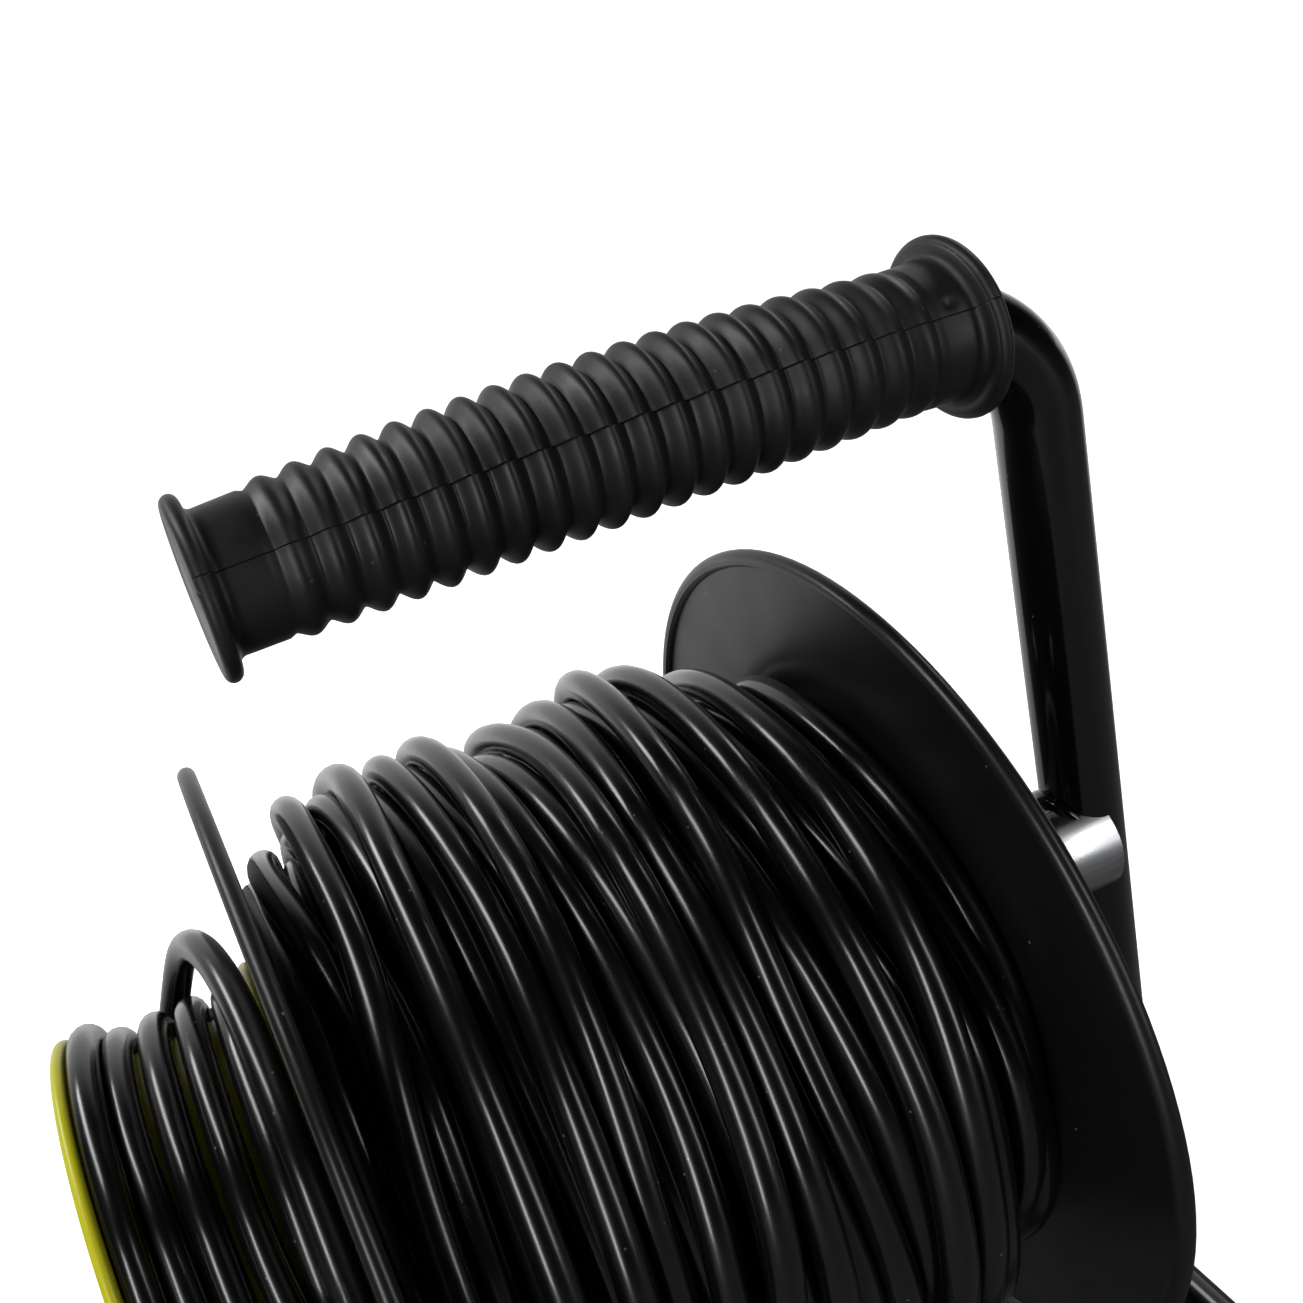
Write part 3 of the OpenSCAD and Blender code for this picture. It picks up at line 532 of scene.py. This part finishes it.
def make_grip():
    """The moulded rubber grip: two halves' parting line, ribs that fade towards the bend, an arch."""
    low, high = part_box("rubber_grip")
    length = (high.y - low.y) / MM
    axis_z = (low.z + high.z) / 2
    rear_guard_r = (high.x - low.x) / 2 / MM
    front_guard_r = 18.4
    guard_t = 3.6
    rib_count = 20
    neck_front = 11.5
    neck_rear = 9.0
    parting = 26  # degrees that the halves' joint is turned up from the sides
    ribs_start = guard_t + neck_front
    ribs_end = length - guard_t - neck_rear
    pitch = (ribs_end - ribs_start) / rib_count
    arch_rise = 1.65
    fall = 2.2
    front_neck_r, rear_neck_r = 14.4, 14.9

    def crest(u):
        shares = [0, 0.12, 0.3, 0.5, 0.7, 0.85, 1]
        return np.interp(u, shares, [15.7, 16.4, 16.9, 17.1, 16.9, 16.1, 15.2])

    def valley(u):
        return np.interp(u, [0, 0.3, 0.7, 1], [14.1, 14.2, 14.3, 14.2])

    outline = [(-0.2, 0.001), (0.0, front_guard_r - 3.2)]
    outline += arc((1.8, front_guard_r - 1.8), 1.8, 180, 0, 11)
    outline += arc((guard_t + 1.6, front_neck_r + 1.6), 1.6, 180, 270, 7)
    outline += [(guard_t + q, front_neck_r + 0.02 * q) for q in np.arange(3, neck_front - 0.8, 1.2)]
    for k in range(rib_count):
        u = k / (rib_count - 1)
        for t in np.linspace(-1, 1, 17)[:-1]:
            swell = (0.5 + 0.5 * math.cos(math.pi * t)) ** 0.72
            along = ribs_start + (k + 0.5 + t / 2) * pitch
            outline.append((along, valley(u) + (crest(u) - valley(u)) * swell))
    outline += [(ribs_end + q, rear_neck_r - 0.1 + 0.02 * q) for q in np.arange(0.5, neck_rear - 2.4, 0.8)]
    outline += arc((length - guard_t - 1.8, rear_neck_r + 1.8), 1.8, 270, 360, 7)
    inner_face = length - guard_t
    outline += [(inner_face, 18.0), (inner_face + 0.4, 18.4), (inner_face + 0.4, rear_guard_r - 1.9)]
    outline += arc((length - 1.6, rear_guard_r - 1.6), 1.6, 180, 0, 11)
    outline += [(length, 9.1)]

    def from_parting(angle):
        return min(abs((angle - parting - turn + 180) % 360 - 180) for turn in (0, 180))

    def is_lower(angle):
        return (angle - parting) % 360 > 180

    def place(along, radius, angle):
        a = math.radians(angle)
        u = (along - ribs_start) / (ribs_end - ribs_start)
        step = 0.85 * math.sin(math.pi * u) ** 0.8 if 0 < u < 1 else 0.0
        from_middle = 2 * along / length - 1
        rise = arch_rise * (1 - from_middle**2) - 0.3 - fall * from_middle
        return (
            radius * math.cos(a) * MM,
            low.y + (along + (step if is_lower(angle) else 0)) * MM,
            axis_z + (radius * math.sin(a) + rise) * MM,
        )

    pit_along, pit_angle = length - guard_t - 5.2, parting + 9

    def relief(i, angle):
        along, radius = outline[i]
        if radius < 9.2:
            return 0.0
        line = -0.16 if from_parting(angle) < 0.3 else 0.0
        lower = -0.14 if is_lower(angle) else 0.0
        off = math.hypot(along - pit_along, math.radians(angle - pit_angle) * radius)
        return line + lower - 0.7 * math.exp(-((off / 0.9) ** 2))

    vertices, faces = lathe(outline, even_angles(144, (parting, parting + 180)), place, relief)
    dress(mesh_piece("grip", vertices, faces, 60), "grip_rubber", "frame", "rubber_grip")

    # the stub of the moulding gate, on the front end beside the joint
    gate = [(0.5, 0.001), (0.5, 1.0), (-0.1, 0.95), (-0.6, 0.6), (-0.75, 0.001)]
    a = math.radians(parting - 9)
    y, r = low.y + 0.6 * MM, (front_guard_r - 1.6) * MM

    def gate_place(along, radius, angle):
        t = math.radians(angle)
        return (
            r * math.cos(a) + radius * math.cos(t) * MM,
            y + along * MM,
            axis_z + (fall - 0.3) * MM + r * math.sin(a) + radius * math.sin(t) * MM,
        )

    vertices, faces = lathe(gate, even_angles(20), gate_place)
    dress(mesh_piece("grip_gate_mark", vertices, faces), "grip_rubber", "frame")


make_grip()

# ---- steel tube ----------------------------------------------------------------------------


def bend(centre, radius, start, end, plane, count=20):
    """Points of a bend about centre; plane gives the two unit directions that angles turn between."""
    turned = np.radians(np.linspace(start, end, count))
    return [centre + radius * (math.cos(t) * plane[0] + math.sin(t) * plane[1]) for t in turned]


def make_tubes():
    """The bent handle tube with its upright, and the base loop, each as one smooth tube."""
    upright_low, upright_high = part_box("upright_tube")
    handle_low, handle_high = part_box("handle_tube")
    tube_r = (upright_high.x - upright_low.x) / 2
    x = (upright_high.x + upright_low.x) / 2
    y = (upright_high.y + upright_low.y) / 2
    top = handle_high.z - tube_r
    radius = top - upright_high.z
    base_low, base_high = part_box("base_rear_tube")
    base_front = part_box("base_front_tube")[0].y
    base_z = (base_low.z + base_high.z) / 2
    forward, up = Vector((0, 1, 0)), Vector((0, 0, 1))
    points = [Vector((x, handle_low.y, top))]
    points += bend(Vector((x, y - radius, top - radius)), radius, 90, 0, (forward, up), 24)
    points += [Vector((x, y, base_z + tube_r * 0.6))]
    tube = curve_tube("frame_tube", points, tube_r, sides=10)
    dress(tube, "black_paint", "frame", "handle_tube", "upright_tube")

    corner = 0.034
    half_w = base_high.x - tube_r - corner
    front_y, rear_y = base_front + tube_r + corner, base_high.y - tube_r - corner
    right = Vector((1, 0, 0))
    loop = bend(Vector((half_w, rear_y, base_z)), corner, 0, 90, (right, forward))
    loop += bend(Vector((-half_w, rear_y, base_z)), corner, 90, 180, (right, forward))
    loop += bend(Vector((-half_w, front_y, base_z)), corner, 180, 270, (right, forward))
    loop += bend(Vector((half_w, front_y, base_z)), corner, 270, 360, (right, forward))
    base = curve_tube("base_loop", loop, tube_r, cyclic=True, sides=10)
    dress(base, "black_paint", "frame", "base_front_tube", "base_rear_tube")

    def bead(name, ring):
        dress(curve_tube(name, ring, 0.0018, cyclic=True, sides=4), "black_paint", "frame")

    rng = np.random.default_rng(2)
    around = np.radians(np.linspace(0, 360, 72, endpoint=False))
    ripple = 0.0003 * smooth(rng.normal(0, 1, len(around)), 1)
    reach = tube_r + 0.0006
    crown = tube_r + 0.0002

    def on_base(t, q):
        rise = math.sqrt(max(0.0, crown**2 - (reach * math.sin(t)) ** 2 * 0.98))
        return Vector((x + reach * math.cos(t), y + reach * math.sin(t), base_z + rise + q))

    bead("base_weld", [on_base(t, q) for t, q in zip(around, ripple)])
    stub_r = (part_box("axle")[1].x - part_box("axle")[0].x) / 2

    def on_upright(t, q):
        seat_y = y - tube_r * abs(math.sin(t)) - 0.0004
        return Vector((x + tube_r * 0.98 * math.cos(t), seat_y + q, AXIS_Z + stub_r * 1.02 * math.sin(t)))

    bead("axle_weld", [on_upright(t, q) for t, q in zip(around, ripple)])


make_tubes()

# ---- CAD nodes that show --------------------------------------------------------------------


def plain_finish():
    """Gives every CAD node the node material of its slot and smooth shading."""
    slots = {row["node"]: row["material_slot"] for row in frame["record"]["subparts"]}
    for name, node in NODES.items():
        material = MATERIALS[SLOT_MATERIALS[slots[name]]]
        node.data.materials.clear()
        node.data.materials.append(material)
        node.data.shade_smooth()
        node.data.set_sharp_from_angle(angle=math.radians(NODE_SHARP))


plain_finish()

# ---- stage ---------------------------------------------------------------------------------


def make_floor():
    """A plain white floor: it glows a little for the camera, so that it stays even."""
    data = bpy.data.meshes.new("floor")
    size = 4.0
    corners = [(-size, -size, 0), (size, -size, 0), (size, size, 0), (-size, size, 0)]
    data.from_pydata(corners, [], [(0, 1, 2, 3)])
    floor = bpy.data.objects.new("floor", data)
    bpy.context.scene.collection.objects.link(floor)
    shader = Shader("pale_floor", (0.16, 0.16, 0.16), 0.8, specular=0.1)
    tree = shader.tree
    glow = shader.node("ShaderNodeEmission")
    glow.inputs["Strength"].default_value = 0.93
    matte = shader.node("ShaderNodeBsdfDiffuse")
    matte.inputs["Color"].default_value = (0.85, 0.85, 0.85, 1)
    both = shader.node("ShaderNodeAddShader")
    tree.links.new(glow.outputs["Emission"], both.inputs[0])
    tree.links.new(matte.outputs["BSDF"], both.inputs[1])
    mix = shader.node("ShaderNodeMixShader")
    tree.links.new(shader.node("ShaderNodeLightPath").outputs["Is Camera Ray"], mix.inputs["Fac"])
    apart = shader.node("ShaderNodeSeparateXYZ")
    tree.links.new(shader.coords, apart.inputs["Vector"])
    shader.set("Emission Color", (1, 1, 1, 1))
    shine = shader.remap(apart.outputs["X"], -0.7, -0.1, 0.9, 0.0)
    tree.links.new(shine, shader.bsdf.inputs["Emission Strength"])
    tree.links.new(shader.bsdf.outputs["BSDF"], mix.inputs[1])
    tree.links.new(both.outputs["Shader"], mix.inputs[2])
    tree.links.new(mix.outputs["Shader"], tree.nodes["Material Output"].inputs["Surface"])
    data.materials.append(shader.material)


def make_light(name, direction, distance, along, size, width, power):
    """A soft box seen from the reel's middle in a direction; its long side runs along a direction."""
    data = bpy.data.lights.new(name, "AREA")
    data.shape = "RECTANGLE"
    data.size = size
    data.size_y = width
    data.energy = power
    light = bpy.data.objects.new(name, data)
    middle = Vector((0, 0, AXIS_Z + 0.06))
    out = Vector(direction).normalized()
    long_side = (Vector(along) - Vector(along).dot(out) * out).normalized()
    short_side = out.cross(long_side)
    light.matrix_world = Matrix((long_side, short_side, out)).transposed().to_4x4()
    light.location = middle + distance * out
    bpy.context.scene.collection.objects.link(light)


def make_world():
    """White behind the reel and near black on the camera's side; the camera sees plain white."""
    world = bpy.data.worlds.new("studio")
    world.use_nodes = True
    tree = world.node_tree
    coords = tree.nodes.new("ShaderNodeTexCoord")
    toward = tree.nodes.new("ShaderNodeVectorMath")
    toward.operation = "DOT_PRODUCT"
    toward.inputs[1].default_value = (-0.93, 0.16, -0.32)
    ramp = tree.nodes.new("ShaderNodeMapRange")
    ramp.interpolation_type = "SMOOTHSTEP"
    set_range(ramp, 0.15, 0.85, 0.008, 0.75)
    backdrop = tree.nodes["Background"]
    seen = tree.nodes.new("ShaderNodeBackground")
    seen.inputs["Color"].default_value = (1, 1, 1, 1)
    rays = tree.nodes.new("ShaderNodeLightPath")
    mix = tree.nodes.new("ShaderNodeMixShader")
    backdrop.inputs["Color"].default_value = (1, 1, 1, 1)
    tree.links.new(coords.outputs["Generated"], toward.inputs[0])
    tree.links.new(toward.outputs["Value"], ramp.inputs["Value"])
    tree.links.new(ramp.outputs["Result"], backdrop.inputs["Strength"])
    tree.links.new(rays.outputs["Is Camera Ray"], mix.inputs["Fac"])
    tree.links.new(backdrop.outputs["Background"], mix.inputs[1])
    tree.links.new(seen.outputs["Background"], mix.inputs[2])
    tree.links.new(mix.outputs["Shader"], tree.nodes["World Output"].inputs["Surface"])
    bpy.context.scene.world = world


make_floor()
# name, direction, distance, direction of the long side, its length, the width and the power
for soft_box in (
    ("over_box", (-0.28, -0.55, 0.80), 1.15, (1, 0, 0.5), 1.30, 0.26, 9.5),
    ("front_box", (0.72, -0.66, 0.15), 1.15, (-0.2, 0, 1), 0.95, 0.22, 6.5),
    ("rear_box", (-0.35, 0.80, 0.60), 1.3, (1, 0, 0), 0.6, 0.3, 2),
    ("right_box", (0.74, 0.62, 0.25), 1.2, (0, 0, 1), 0.90, 0.25, 3),
):
    make_light(*soft_box)
make_world()
bpy.context.scene.view_settings.view_transform = "Standard"
